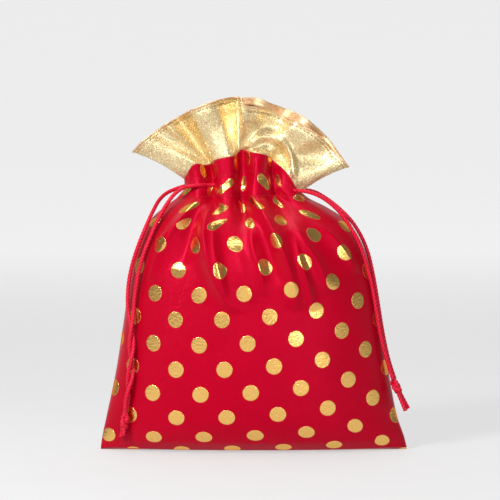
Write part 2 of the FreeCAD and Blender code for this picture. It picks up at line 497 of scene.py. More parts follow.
@dataclass(frozen=True)
class PrintedSatin:
    """Satin with round foil dots on a square lattice turned a little past 45 degrees.

    A dot is where the distance to the nearest lattice point, on the flat cloth, is under its radius, in
    millimetres.
    """

    name: str = "printed_satin"
    colour: Point = (0.41, 0.0, 0.013)
    deep: Point = (0.27, 0.0, 0.006)
    foil: Point = (0.80, 0.42, 0.09)
    foil_light: Point = (0.95, 0.62, 0.21)
    spacing: float = 20.36
    radius: float = 4.65
    turn: float = 49.1
    start: tuple[float, float] = (0.428, 0.659)

    def make(self) -> Material:
        """The material: foil on the dots, streaked satin between them."""
        s = Shader(self.name)
        where, across, up = s.cloth()
        cosine, sine = math.cos(math.radians(self.turn)), math.sin(math.radians(self.turn))
        aside = ((across * cosine + up * sine) / self.spacing + self.start[0]).do("FRACT") - 0.5
        above = ((up * cosine - across * sine) / self.spacing + self.start[1]).do("FRACT") - 0.5
        off = (aside * aside + above * above).do("SQRT") * self.spacing
        wander = s.noise(where, (0.9, 0.9, 0.9)) - 0.5
        dot = 1 - (off + wander * 0.35).step(self.radius - 0.18, self.radius + 0.12)
        streak = s.noise(where, (0.35, 5.0, 1.0), 3.0)
        broad = s.noise(where, (0.05, 0.05, 0.05))
        satin = s.mix((streak * 0.6 + broad * 0.6 - 0.1).held(), self.deep, self.colour)
        crinkle = s.noise(where, (0.55, 0.7, 0.6), 3.0)
        foil = s.mix(crinkle, self.foil, self.foil_light)
        weave = (up * 9.0).do("SINE") * 0.10 + streak * 0.45
        height = dot * (crinkle * 0.9 + 0.5) + (1 - dot) * weave
        return s.finish(
            Base_Color=s.mix(dot, satin, foil),
            Metallic=dot,
            Roughness=(1 - dot) * (0.26 + streak * 0.14) + dot * (0.16 + crinkle * 0.12),
            Normal=s.bump(height, 0.00016),
            Specular_IOR_Level=0.7, Specular_Tint=(1.0, 0.04, 0.15, 1.0),
        )


@dataclass(frozen=True)
class Lame:
    """Metal-threaded cloth: a fine glittering grain of separate threads on a soft metallic ground."""

    name: str = "lame"
    light: Point = (1.0, 0.88, 0.54)
    dark: Point = (0.50, 0.31, 0.12)
    roughness: float = 0.32

    def make(self) -> Material:
        """The material, whose grains are about half a millimetre wide."""
        s = Shader(self.name)
        where, across, _ = s.cloth()
        grain, sheen = s.grains(where, 1.9)
        broad = s.noise(where, (0.10, 0.05, 0.08))
        threads = (across * 7.5).do("SINE") * 0.5 + 0.5
        tone = (grain * 0.75 + broad * 0.5 + threads * 0.10 - 0.12).held()
        return s.finish(
            Base_Color=s.mix(tone, self.dark, self.light),
            Metallic=0.85,
            Roughness=self.roughness + 0.16 - sheen * 0.26,
            Normal=s.bump(grain + threads * 0.4, 0.00012),
        )


@dataclass(frozen=True)
class SatinYarn:
    """Lustrous red yarn, with fine filaments laid along each ply."""

    name: str = "satin_yarn"
    colour: Point = (0.70, 0.004, 0.035)
    # deep is painted shade for the grooves between the plies.
    deep: Point = (0.24, 0.0, 0.006)
    roughness: float = 0.38

    def make(self) -> Material:
        """The material, with a painted highlight on the outer ridge of each ply and painted shade in the
        grooves between them.
        """
        s = Shader(self.name)
        where, turn, _ = s.cloth()
        filament = s.noise(where, (5.0, 1.2, 1.0))
        # Painted highlight and shade: 1 on the outer ridge of each ply and 0 in the grooves between them,
        # following the twist.
        painted_ply_shading = turn.do("COSINE").do("ABSOLUTE")
        return s.finish(
            Base_Color=s.mix((painted_ply_shading * 0.9 + filament * 0.5 - 0.25).held(), self.deep, self.colour),
            Roughness=self.roughness + filament * 0.15,
            Normal=s.bump(filament, 0.00010),
            Specular_Tint=(1.0, 0.35, 0.45, 1.0),
        )


@dataclass(frozen=True)
class PlainCloth:
    """Unprinted cloth or thread: a fine grain between two tones, which also dulls and roughens it."""

    name: str
    colour: Point
    deep: Point
    roughness: float

    def make(self) -> Material:
        """The material, with a grain of about half a millimetre."""
        s = Shader(self.name)
        grain = s.noise(s.place(), (1800.0, 1800.0, 2600.0), 1.0)
        return s.finish(
            Base_Color=s.mix(grain, self.deep, self.colour),
            Roughness=self.roughness + grain * 0.1,
            Normal=s.bump(grain, 0.00006),
        )


# ---------------------------------------------------------------- the cloth

@dataclass(frozen=True)
class Fold:
    """A ridge (or, with a negative height, a valley) that runs up the cloth, in millimetres.

    Its centre is at x = across[i] where z = up[i]. At share t of its length it stands
    height * sin(pi t)^0.7 * exp(-|(x - centre) / width|^p) off the cloth, where p is 2 in a valley and 1.35
    on a ridge, whose crest is sharper. With an open top it keeps its height to its upper end, and it is half
    as wide again at its foot.
    """

    up: tuple[float, ...]
    across: tuple[float, ...]
    width: float
    height: float
    open_top: bool = False

    def rise(self, x: Array, z: Array) -> Array:
        """How far the fold lifts the cloth.

        Args:
            x: places across the pouch.
            z: their heights.

        Returns:
            The lift, in millimetres.
        """
        low, high = self.up[0], self.up[-1]
        t = np.clip((z - low) / (high - low), 0, 1)
        envelope = smooth(0, 0.45, t) if self.open_top else np.sin(np.pi * t) ** 0.7
        centre = through(self.up, self.across, z)
        narrow = self.width * (1 + 0.5 * (1 - t)) if self.open_top else self.width
        power = 2.0 if self.height < 0 else 1.35
        return self.height * envelope * np.exp(-(np.abs((x - centre) / narrow) ** power))


def seam_twist(c: Array, z: Array) -> Array:
    """How far forward the right side seam is pulled at the neck, at share c of the width and height z."""
    return 2.5 * smooth(0.55, 1.0, c) * smooth(143, 151, z)


def across_hinge(obj: Object) -> Object:
    """Bakes the piece's placement into its points."""
    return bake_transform(obj)


@dataclass
class Body:
    """Both satin panels: sections of a filled pouch, closed in at the neck, with the folds of the gathers.

    At each height the section is y = depth * (1 - |c|^2.1)^(1 / fullness) over x = middle + half-width * c.
    Lengths are millimetres.
    """

    up: tuple[float, ...] = (0, 3, 7, 20, 45, 70, 95, 111, 126, 135, 142, 148, 154, 160, 180)
    left: tuple[float, ...] = (90, 89.6, 89, 86.3, 81, 77, 73.4, 70.8, 65.5, 60.2, 52.5, 44.5, 40.5, 41, 48)
    right: tuple[float, ...] = (90, 89.2, 88.2, 83.8, 79, 75, 71, 67, 60.5, 53.0, 42.5, 31, 25.5, 25.2, 31)
    depth: tuple[float, ...] = (17, 20.5, 24, 28.6, 31, 31.8, 31.6, 30.4, 27, 23, 18.5, 14.5, 12.6, 12.0, 11)
    fullness: tuple[float, ...] = (1.15, 1.2, 1.3, 1.42, 1.6, 1.7, 1.8, 1.85, 2, 2, 2, 2, 2, 2, 2)
    foot: float = 1.6
    neck: float = 146.0
    neck_share: float = 0.80
    cord_height: float = 153.5
    stitch_height: float = 148.4
    rows: int = 190
    columns: int = 261
    under_rows: int = 14
    panel_width: float = 180.0
    thickness: float = 0.5
    folds: dict[Side, tuple[Fold, ...]] = field(default_factory=lambda: {
        Side.FRONT: (
            Fold((132, 148, 160, 172), (-21, -24.5, -26.5, -28.6), 3.4, -10.0, True),
            Fold((124, 140, 152, 176), (-3.5, -5.0, -5.5, -6.4), 4.0, -10.0, True),
            Fold((128, 140, 150, 166), (25, 18, 13, 12), 4.6, -6.5, True),
            Fold((82, 100, 118, 132, 146, 158), (-12, -22, -27, -28.5, -24, -20), 5.2, 6.4),
            Fold((92, 108, 122, 134), (-16, -20, -22.5, -23), 2.4, 3.0),
            Fold((84, 102, 122, 140, 150, 170), (25, 21, 14, 5, -1, 2), 5.4, 7.0),
            Fold((84, 98, 112, 126), (34, 30.5, 26, 23), 2.8, 3.2),
            Fold((92, 110, 122, 138), (6, 2.5, -1, -2), 3.2, 2.8),
            Fold((94, 110, 124, 142), (43, 36.5, 28, 19), 4.6, 3.8),
            Fold((104, 114, 126, 134), (60, 54, 45, 36), 3.6, 2.4),
            Fold((100, 116, 130, 146), (-61, -54, -45, -34), 4.6, 3.6),
            Fold((122, 134, 147), (-55, -43, -32), 3.0, 3.0),
            Fold((108, 124, 136, 146), (-43, -38, -34, -31), 4.2, -3.4),
            Fold((98, 112, 126, 140), (13, 10, 6, 1), 4.4, -2.2),
            Fold((88, 104, 120), (-2, -6, -9), 5.0, 1.6),
        ),
        Side.BACK: (
            Fold((130, 146, 160, 172), (2, 4, 6, 8), 4.0, -8.0, True),
            Fold((122, 140, 152, 172), (-14, -13, -12, -11), 4.2, -8.5, True),
            Fold((130, 142, 152, 168), (-38, -31, -26, -26), 4.6, -6.5, True),
            Fold((86, 104, 122, 140, 152), (-16, -12, -8, -5, -4), 5.0, 4.6),
            Fold((92, 108, 124, 142), (-44, -38, -31, -23), 5.0, 4.2),
            Fold((90, 106, 124, 140, 150), (28, 25, 20, 14, 12), 5.0, 4.6),
            Fold((104, 116, 130), (10, 8, 5), 3.6, 2.2),
            Fold((100, 114, 128, 140), (52, 46, 37, 27), 5.0, 2.8),
            Fold((106, 118, 132), (-62, -55, -46), 4.4, 2.4),
        ),
    })
    seams: dict[Side, tuple[tuple[float, ...], tuple[float, ...]]] = field(default_factory=lambda: {
        Side.FRONT: ((-41.5, -31.6, -28.6, -20.0, -9.5, -6.4, -4.0, 6.4, 18.1, 25.2),
                     (157.8, 167.5, 166.6, 170.0, 172.6, 175.5, 174.8, 172.4, 163.6, 151.0)),
        Side.BACK: ((-41.5, -34, -22, -8, 6, 18, 25.2), (157.8, 165, 168.5, 170, 168.5, 163, 151.0)),
    })

    def section(self, z: Array, c: Array, side: Side) -> tuple[Array, Array]:
        """The smooth section of the pouch.

        Args:
            z: heights.
            c: shares of the width, from -1 at the left seam to 1 at the right.
            side: front or back.

        Returns:
            x and y.
        """
        left, right = through(self.up, self.left, z), through(self.up, self.right, z)
        depth, fullness = through(self.up, self.depth, z), through(self.up, self.fullness, z)
        x = (right - left) / 2 + (right + left) / 2 * c
        return x, side.value * depth * np.clip(1 - np.abs(c) ** 2.1, 0, 1) ** (1 / fullness)

    def gathers(self, c: Array, z: Array, side: Side) -> Array:
        """Small pleats that fan out from the neck: uneven waves in c that fade in above the belly.

        Args:
            c: shares of the width, from -1 to 1.
            z: heights.
            side: front or back.

        Returns:
            How far they lift the cloth.
        """
        shift = 0.6 * np.sin(3.1 * c + 0.9 * side.value) + 0.35 * np.sin(7.7 * c + 1.3)
        wave = np.sin(15.5 * (c + 0.12 * shift)) + 0.45 * np.sin(27.0 * c + 2.0 * shift)
        at_neck = smooth(130, 150, z) * (1 - 0.6 * smooth(155, 164, z))
        return wave * (0.1 * smooth(100, 128, z) + 0.8 * at_neck)

    def height(self, c: Array, side: Side) -> Array:
        """Heights of the rows: close together at the foot, even through the neck, up to the frill's seam.

        Args:
            c: (columns,) shares of the width, from -1 to 1.
            side: front or back.

        Returns:
            (rows, columns) heights.
        """
        t = np.linspace(0, 1, self.rows - self.under_rows)[:, None] + 0 * c
        at = self.section(np.full_like(c, 160.0), c, side)[0]
        top = through(*self.seams[side], at)
        low = self.foot + (self.neck - self.foot) * (t / self.neck_share) ** 1.12
        high = self.neck + (top - self.neck) * (t - self.neck_share) / (1 - self.neck_share)
        return np.where(t < self.neck_share, low, high)

    def lift(self, x: Array, z: Array, c: Array, side: Side) -> Array:
        """How far the folds and gathers lift the cloth.

        The drawstring presses them flatter by a third where it runs, and its channel stands 0.6 mm out. All
        of it fades out at the side seams.

        Args:
            x: places across the pouch.
            z: their heights.
            c: their shares of the width, from -1 to 1.
            side: front or back.

        Returns:
            The lift.
        """
        lift = sum((fold.rise(x, z) for fold in self.folds[side]), self.gathers(c, z, side))
        from_cord, from_stitch = z - self.cord_height, z - self.stitch_height
        cinch = 1 - 0.35 * np.exp(-((from_cord / 5.0) ** 2))
        channel = 0.6 * np.exp(-((from_cord / 3.6) ** 2)) - 0.2 * np.exp(-((from_stitch / 1.5) ** 2))
        return (lift * cinch + channel) * smooth(0, 0.10, 1 - np.abs(c))

    def flat(self, points: Array, lift: Array) -> Array:
        """The flat cloth's coordinates at each point.

        Across the cloth it is the distance along the row, where a valley takes in up to 2.5 times its
        length, scaled to the panel's flat width. Up the cloth it is the distance up the column, averaged with
        the middle column's, and less at the foot, where the cloth turns under.

        Args:
            points: (rows, columns, 3) in metres.
            lift: (rows, columns) millimetres that the folds lift the cloth.

        Returns:
            (rows, columns, 2) in metres.
        """
        swallow = 1.5 * np.clip(-lift / 6, 0, 1)
        step = np.diff(along(points), axis=1) * (1 + (swallow[:, 1:] + swallow[:, :-1]) / 2)
        length = np.concatenate([np.zeros((len(step), 1)), np.cumsum(step, axis=1)], axis=1)
        across = (length / length[:, -1:] - 0.5) * self.panel_width * MM
        climb = along(points.transpose(1, 0, 2)).T
        up = 0.65 * climb[:, self.columns // 2][:, None] + 0.35 * climb
        up = up - 0.62 * climb[self.under_rows] * np.exp(-points[..., 2] / (8 * MM))
        return np.stack([across, up], -1)

    def surface(self, side: Side) -> tuple[Array, Array]:
        """Points of one panel and the flat cloth's coordinates at each.

        Rows run from the bottom seam out under the pouch, up the belly and through the neck to the frill.
        Each point of the smooth section is moved out, square to it, by the lift of the folds. Columns stand
        closer together at the side seams.

        Args:
            side: front or back.

        Returns:
            (rows, columns, 3) in metres and (rows, columns, 2) in metres.
        """
        q = np.linspace(-1, 1, self.columns)
        share = 0.55 * np.sin(q * np.pi / 2) + 0.45 * q
        z = self.height(share, side)
        c = np.broadcast_to(share, z.shape)
        x, y = self.section(z, c, side)
        run = unit(np.stack([np.gradient(x, axis=1), np.gradient(y, axis=1)], -1))
        out = np.stack([run[..., 1], -run[..., 0]], -1)
        out = np.where(out[..., 1:2] * side.value < 0, -out, out)
        lift = self.lift(x, z, c, side)
        x, y = x + out[..., 0] * lift, y + out[..., 1] * lift - seam_twist(c, z)
        body = np.stack([x, y, z], -1)
        inward = np.linspace(0, 1, self.under_rows, endpoint=False)[:, None]
        low_x, low_y, low_z = (body[0][None, :, k] for k in range(3))
        under = np.stack([low_x + 0 * inward, low_y * inward, low_z * inward ** 2 + 0.05], -1)
        points = np.concatenate([under, body]) * MM
        return points, self.flat(points, np.concatenate([np.zeros_like(under[..., 0]), lift]))

    def build(self, side: Side, finish: Material) -> tuple[Array, Array]:
        """One panel with its thickness.

        Args:
            side: front or back.
            finish: the printed satin.

        Returns:
            Its grid of points and their flat coordinates, as surface gives them.
        """
        word = side.name.lower()
        points, uv = self.surface(side)
        faces = grid_faces(*points.shape[:2], flip=side is Side.BACK)
        panel = new_object(f"{word}_satin", points, faces, uv)
        thicken(panel, self.thickness * MM)
        dress(across_hinge(panel), finish, f"{word}_panel")
        return points, uv


@dataclass
class Frill:
    """The lame frill: cloth that rises from the satin's top edge to a fanned rim, thrown into flutes.

    A point is root + (rim - root) * r for share r of its height, pushed out by the flutes, whose depth grows
    with r. Lengths are millimetres. The rim is given by points, and the flutes by shares of the rim's length
    and how far the cloth stands out there.
    """

    rows: int = 56
    thickness: float = 0.35
    hem: float = 4.5
    hem_thickness: float = 0.15
    hem_line: float = 2.3
    fullness: float = 8.0
    flute_depth: float = 1.35
    curl_at: tuple[float, float] = (7.5, 164.0)
    curl_size: tuple[float, float] = (14.5, 19.0)
    rim: dict[Side, tuple[tuple[float, float], ...]] = field(default_factory=lambda: {
        Side.FRONT: ((-70.7, 174.1), (-65, 180.0), (-58.4, 185.2), (-48.5, 191.7), (-35.6, 198.7),
                     (-25.7, 202.6), (-14.6, 205.5), (-8.4, 206.0), (-5.6, 201.2), (6.4, 199.2),
                     (19.3, 194.0), (32.7, 187.0), (41.5, 180.0), (47.0, 174.0), (52.0, 168.6),
                     (55.0, 165.4)),
        Side.BACK: ((-70.7, 174.1), (-63, 179.0), (-57.0, 183.0), (-48.5, 188.5), (-35.6, 195.0),
                    (-22.0, 201.5), (-8.0, 205.2), (-1.0, 205.6), (9.9, 202.2), (19.3, 198.7),
                    (27.5, 195.2), (36.8, 188.2), (43.8, 181.2), (48.5, 174.6), (52.6, 168.8),
                    (55.0, 165.4)),
    })
    flutes: dict[Side, tuple[tuple[float, float], ...]] = field(default_factory=lambda: {
        Side.FRONT: ((0, 0), (0.06, 3.2), (0.12, 0.5), (0.155, 1.2), (0.172, 5.2), (0.195, 1.0),
                     (0.215, -4.6), (0.25, -1.5), (0.29, 4.6), (0.34, 6.2), (0.385, 3.4), (0.405, -1.0),
                     (0.44, -5.0), (0.474, -8.5), (0.486, 4.0), (0.51, 6.0), (0.56, 3.8), (0.62, -1.8),
                     (0.67, -3.0), (0.74, 4.4), (0.82, 4.6), (0.90, 0.4), (0.95, 0.0), (1, 0)),
        Side.BACK: ((0, 0), (0.10, 4.0), (0.18, -2.5), (0.28, 5.0), (0.38, -4.0), (0.47, 5.0),
                    (0.56, -1.5), (0.66, 4.5), (0.76, -3.5), (0.86, 4.0), (0.94, 0.5), (1, 0)),
    })

    def curl(self, x: Array, z: Array, w: Array, r: Array) -> Array:
        """The round curl right of the front's crease: a ridge along an ellipse, and the hollow inside it.

        With rho the distance from the curl's middle as a share of the ellipse there, it stands
        3 * exp(-((rho - 1.05) / 0.13)^2) out on the ridge and up to 2.6 in at the middle.

        Args:
            x: places across the frill.
            z: their heights.
            w: their shares of the rim's length.
            r: their shares of the frill's height.

        Returns:
            How far it stands out, in millimetres.
        """
        rho = np.hypot((x - self.curl_at[0]) / self.curl_size[0], (z - self.curl_at[1]) / self.curl_size[1])
        roll = 3.0 * np.exp(-(((rho - 1.05) / 0.13) ** 2)) - 2.6 * (1 - smooth(0.75, 0.98, rho))
        return smooth(0.48, 0.53, w) * roll * smooth(0, 0.12, r)

    def surface(self, side: Side, root: Array, flat: Array) -> tuple[Array, Array]:
        """Points of one side of the frill and its flat cloth coordinates.

        Args:
            side: front or back.
            root: (columns, 3) top edge of the satin, in metres.
            flat: (columns,) distance across the flat cloth, in metres.

        Returns:
            (rows, columns, 3) and (rows, columns, 2), in metres.
        """
        w = (flat - flat[0]) / (flat[-1] - flat[0])
        knots = np.asarray(self.rim[side], float)
        share = along(knots) / along(knots)[-1]
        rim = np.stack([through(share, knots[:, k], w) for k in (0, 1)], -1)
        flute = through(*zip(*self.flutes[side]), w)
        belly = np.clip(np.sin(np.pi * w), 0, 1) ** 0.6
        r = np.linspace(0, 1, self.rows)[:, None]
        base = root / MM
        x = base[:, 0] + (rim[:, 0] - base[:, 0]) * r
        z = base[:, 2] + (rim[:, 1] - base[:, 2]) * (r + 0.10 * np.sin(np.pi * r) * (1 - belly))
        y = base[:, 1] * (1 - smooth(0, 0.75, r)) + side.value * self.fullness * belly * smooth(0, 0.9, r)
        fine = 0.5 * np.sin(46 * w + 1.5 * np.sin(9 * w)) * (1 - r) ** 1.5 + 0.25 * np.sin(61 * w + 3 * r)
        stand = self.flute_depth * flute * smooth(-0.05, 0.9, r) + fine * belly * smooth(0, 0.15, r)
        y = y + side.value * stand
        y = y + (base[:, 1] * smooth(0, 0.75, r) - 0.5 * smooth(0, 1, r)) * smooth(0.90, 1.0, w)
        if side is Side.FRONT:
            y = y - self.curl(x, z, w, r)
        points = np.stack([x, y, z], -1)
        below = along(points.transpose(1, 0, 2)).T
        to_rim = below[-1] - below
        points[..., 1] -= side.value * 0.30 * np.exp(-(((to_rim - self.hem_line) / 0.7) ** 2))
        return points * MM, np.stack([np.broadcast_to(flat, x.shape), below * MM + 0.19], -1)

    def turned_hem(self, points: Array, normal: Array) -> tuple[Array, Array]:
        """The hem: cloth that goes over the rim and down the inside of the frill.

        Each of its rows stands some way below the rim, along the cloth, and some way in, square to it.

        Args:
            points: (rows, columns, 3) of the frill, in metres.
            normal: the cloth's outward directions there.

        Returns:
            (rows, columns, 3) of the hem, in metres, and how many millimetres below the rim each row is.
        """
        depth = np.array([self.hem, self.hem - 0.3, 3.2, 2.3, 1.2, 0.5, 0.0, -0.35, -0.30, 0.0, 0.6])
        inner = np.array([0.9, 1.15, 1.1, 1.0, 1.1, 1.15, 1.05, 0.5, -0.15, -0.28, -0.05])
        away = unit(points[-1] - points[-8])
        at_rim, lower = normal[-1], normal[-3]
        inward = [(at_rim if d < 2 else lower) * i * MM for d, i in zip(depth, inner)]
        return np.stack([points[-1] - away * d * MM - i for d, i in zip(depth, inward)]), depth

    def stitched(self, name: str, points: Array, normal: Array) -> Object:
        """The hem's thread, a steady way below the rim.

        Args:
            name: name of the piece.
            points: (rows, columns, 3) of the frill, in metres.
            normal: the cloth's outward directions there.

        Returns:
            The thread.
        """
        length = along(points.transpose(1, 0, 2)).T
        to_rim = (length[-1] - length) / MM
        row = np.clip(np.argmin(np.abs(to_rim - self.hem_line), axis=0), 0, self.rows - 1)
        column = np.arange(points.shape[1])
        line = np.pad(points[row, column], ((2, 2), (0, 0)), "edge")
        line = np.stack([np.convolve(line[:, k], np.ones(5) / 5, "valid") for k in range(3)], -1)
        return stitches(name, [(line, normal[row, column])], 2.0 * MM, 0.5 * MM, 0.26 * MM)

    def build(self, side: Side, root: Array, flat: Array, finish: Finishes) -> None:
        """One side of the frill with its hem and the hem's thread.

        Args:
            side: front or back.
            root: (columns, 3) top edge of the satin, in metres.
            flat: (columns,) distance across the flat cloth, in metres.
            finish: the materials by name.
        """
        word, over = side.name.lower(), side is Side.BACK
        points, uv = self.surface(side, root, flat)
        cloth = new_object(f"{word}_lame", points, grid_faces(*points.shape[:2], flip=over), uv)
        thicken(cloth, self.thickness * MM)
        dress(across_hinge(cloth), finish["lame"], f"{word}_frill")
        normal = facing(points, side)
        rows, depth = self.turned_hem(points, normal)
        hem_uv = np.broadcast_arrays(flat, (0.235 + depth * MM)[:, None])
        hem = new_object(f"{word}_hem", rows, grid_faces(*rows.shape[:2], flip=over), np.stack(hem_uv, -1))
        thicken(hem, self.hem_thickness * MM)
        dress(across_hinge(hem), finish["lame_edge"], f"{word}_frill_hem")
        thread = self.stitched(f"{word}_hem_thread", points, normal)
        dress(across_hinge(thread), finish["gold_thread"], f"{word}_hem_stitching")


@dataclass
class Insides:
    """What is inside the pouch: seam allowances, the casing's inner layer and all the thread.

    Lengths are millimetres.
    """

    allowance: float = 6.0
    allowance_thickness: float = 0.6
    waves: float = 0.35
    seam_inset: float = 0.9
    tape_from: float = 147.5
    tape_to: float = 159.5
    tape_thickness: float = 0.4
    tape_scale: Point = (0.60, 0.18, 1.0)
    neck_centre: float = -7.5
    casing_lines: dict[str, float] = field(default_factory=lambda: {"lower": 148.5, "upper": 158.5})

    def strip(self, name: str, outer: Array, inward: Array, node: str, finish: Finishes) -> None:
        """One seam allowance: a narrow band that waves a little, with a line of stitches along its middle.

        At s along the seam and share t of its width it is waves * sin(s / 4.1 + 1.2 sin(s / 17)) * t^1.5 off
        the flat.

        Args:
            name: name of the band.
            outer: (n, 3) points along the seam, in metres.
            inward: (n, 3) unit vectors from the seam into the pouch.
            node: the CAD seam that it stands for.
            finish: the materials by name.
        """
        share = np.linspace(0.0, 1.0, 5)[:, None, None]
        points = outer[None] + inward[None] * share * self.allowance * MM
        s = along(outer) / MM
        wave = self.waves * MM * np.sin(s / 4.1 + 1.2 * np.sin(s / 17))
        points[..., 1] += wave[None] * share[..., 0] ** 1.5
        band = new_object(name, points, grid_faces(*points.shape[:2]))
        thicken(band, self.allowance_thickness * MM, offset=0.0)
        dress(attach(band, "pouch"), finish["reverse"], f"{node}_allowance")
        line = points[2] - np.array([0, 0.32 * MM, 0])
        face = np.broadcast_to(np.array([0.0, -1.0, 0.0]), line.shape)
        thread = stitches(f"{name}_thread", [(line, face)], 2.0 * MM, 0.6 * MM, 0.17 * MM)
        dress(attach(thread, "pouch"), finish["red_thread"], f"{node}_stitching")

    def allowances(self, body: Body, finish: Finishes) -> None:
        """The allowances of both side seams and of the bottom seam.

        Args:
            body: the panels that they belong to.
            finish: the materials by name.
        """
        z = np.linspace(7.5, 139, 100)
        for name, reach, sign in (("left", body.left, -1), ("right", body.right, 1)):
            x = sign * (through(body.up, reach, z) - self.seam_inset)
            outer = np.stack([x, 0 * x, z], -1) * MM
            run = unit(np.gradient(outer, axis=0))
            inward = np.stack([run[:, 2], 0 * z, -run[:, 0]], -1)
            inward = np.where(inward[:, :1] * sign > 0, -inward, inward)
            self.strip(f"{name}_allowance", outer, inward, f"{name}_seam", finish)
        x = np.linspace(-87.5, 87.5, 140)
        outer = np.stack([x, 0 * x, 0 * x + self.seam_inset], -1) * MM
        up = np.broadcast_to(np.array([0.0, 0.0, 1.0]), outer.shape)
        self.strip("bottom_allowance", outer, up, "bottom_seam", finish)

    def casing(self, panels: dict[Side, Array], finish: Finishes) -> None:
        """The casing's inner layer on each panel, and the two lines of stitches through it.

        A tape is the panel's own surface there, drawn in towards the middle of the neck by tape_scale.

        Args:
            panels: each panel's (rows, columns, 3) points, in metres.
            finish: the materials by name.
        """
        lines: dict[str, list[tuple[Array, Array]]] = {which: [] for which in self.casing_lines}
        centre = np.array([self.neck_centre * MM, 0, 0])
        for side, points in panels.items():
            z = points[..., 2].mean(axis=1) / MM
            normal = facing(points, side)
            inside = (z > self.tape_from) & (z < self.tape_to)
            band, out = points[inside][:, 14:-14], normal[inside][:, 14:-14]
            shape = (band - centre) * np.array(self.tape_scale) + centre - out * 0.1 * MM
            faces = grid_faces(*shape.shape[:2], flip=side is Side.BACK)
            word = side.name.lower()
            tape = new_object(f"{word}_tape", shape, faces)
            thicken(tape, self.tape_thickness * MM)
            dress(across_hinge(tape), finish["reverse"], f"{word}_casing_tape")
            for which, height in self.casing_lines.items():
                row = int(np.argmin(np.abs(z - height)))
                lines[which].append((points[row, 6:-6], normal[row, 6:-6]))
        for which, pair in lines.items():
            thread = stitches(f"{which}_casing_thread", pair, 1.8 * MM, 0.8 * MM, 0.15 * MM)
            dress(across_hinge(thread), finish["red_thread"], f"{which}_casing_stitching")


@dataclass
class Drawstring:
    """One twisted satin cord: its loop in the casing, two hanging ends, the knot in them and two tails.

    Lengths and routes are in millimetres.
    """

    name: str
    front: Points
    back: Points
    loop: Points
    knot_at: Point
    knot_along: Point
    tails: tuple[Points, Points]
    lengths: tuple[float, float]
    thickness: float = 2.4
    pitch: float = 6.5
    knot_thickness: float = 2.7
    knot_pitch: float = 5.0
    knot_scale: Point = (0.90, 1.28, 1.18)

    def line(self, points: Points, step: float, straight: bool = False) -> Array:
        """The line that a route's points steer.

        Args:
            points: the route, in millimetres.
            step: about how far apart the line's points stand, in millimetres.
            straight: runs straight from point to point instead of as a smooth NURBS curve.

        Returns:
            (n, 3) in metres.
        """
        line = np.asarray(points, float) * MM
        if not straight:
            data = bpy.data.curves.new(f"{self.name}_route", "CURVE")
            data.dimensions = "3D"
            data.resolution_u = 16
            spline = data.splines.new("NURBS")
            spline.points.add(len(points) - 1)
            spline.points.foreach_set("co", np.c_[line, np.ones(len(points))].ravel())
            spline.order_u = 3
            spline.use_endpoint_u = True
            route = bpy.data.objects.new(f"{self.name}_route", data)
            bpy.context.collection.objects.link(route)
            mesh = bpy.data.meshes.new_from_object(route)
            line = np.empty(len(mesh.vertices) * 3)
            mesh.vertices.foreach_get("co", line)
            bpy.data.objects.remove(route)
            bpy.data.meshes.remove(mesh)
            line = line.reshape(-1, 3)
            line = line[np.concatenate([[True], np.linalg.norm(np.diff(line, axis=0), axis=1) > 1e-7])]
        s = along(line)
        at = np.linspace(0, s[-1], max(4, int(s[-1] / (step * MM))))
        return np.stack([np.interp(at, s, line[:, k]) for k in range(3)], -1)

    def cord(self, name: str, line: Array, body: str, node: str, finish: Material,
             aside: Point = (0.0, 1.0, 0.0)) -> Object:
        """One length of the cord.

        Args:
            name: what it is called, after the drawstring's own name.
            line: (n, 3) centreline in metres.
            body: what it rides on, after the drawstring's own name.
            node: the CAD piece that it stands for, after the drawstring's own name.
            finish: the yarn.
            aside: a direction that the line never runs along.

        Returns:
            The length of cord.
        """
        cord = twisted(f"{self.name}_{name}", line, self.thickness / 2 * MM, self.pitch * MM, aside=aside)
        return dress(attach(cord, f"{self.name}_{body}"), finish, f"{self.name}_{node}")

    def end(self, which: str, points: Points, length: float, finish: Material, others: list[Object]) -> None:
        """One hanging end, from the casing to the knot.

        Args:
            which: front or back.
            points: its route.
            length: its given length; not used.
            finish: the yarn.
            others: the knot and tails; not used.
        """
        line = self.line(points, 0.55)
        cord = self.cord(f"{which}_cord", line, "ends", f"{which}_end", finish)
        log.info("%s: %.1f mm", cord.name, along(line)[-1] / MM)

    def knot(self, finish: Material) -> Object:
        """The overhand knot: a trefoil, (sin t + 2 sin 2t, cos t - 2 cos 2t, -sin 3t), pulled tight.

        Args:
            finish: the yarn.

        Returns:
            The knot.
        """
        t = np.linspace(0, 2 * np.pi, 150)
        flat = np.stack([np.sin(t) + 2 * np.sin(2 * t), np.cos(t) - 2 * np.cos(2 * t), -np.sin(3 * t)], -1)
        shape = flat * np.array(self.knot_scale) * MM
        turn = np.array(Vector(self.knot_along).normalized().to_track_quat("Y", "Z").to_matrix())
        line = shape @ turn.T + np.asarray(self.knot_at) * MM
        side = tuple(turn @ np.array([0.0, 0.0, 1.0]))
        name, radius = f"{self.name}_overhand_knot", self.knot_thickness / 2 * MM
        knot = twisted(name, line, radius, self.knot_pitch * MM, aside=side)
        return dress(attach(knot, f"{self.name}_ends"), finish, f"{self.name}_knot")

    def build(self, finish: Material) -> None:
        """All of the drawstring's pieces, of the given yarn."""
        pieces = [self.knot(finish)]
        for which, points in zip(("first", "second"), self.tails):
            line = self.line(points, 0.5, straight=True)
            pieces.append(self.cord(f"{which}_cord_tail", line, "ends", f"{which}_tail", finish))
        self.end("front", self.front, self.lengths[0], finish, pieces)
        self.end("back", self.back, self.lengths[1], finish, [])
        self.cord("cord_in_casing", self.line(self.loop, 0.6), "pull", "drawstring", finish, (0.0, 0.0, 1.0))


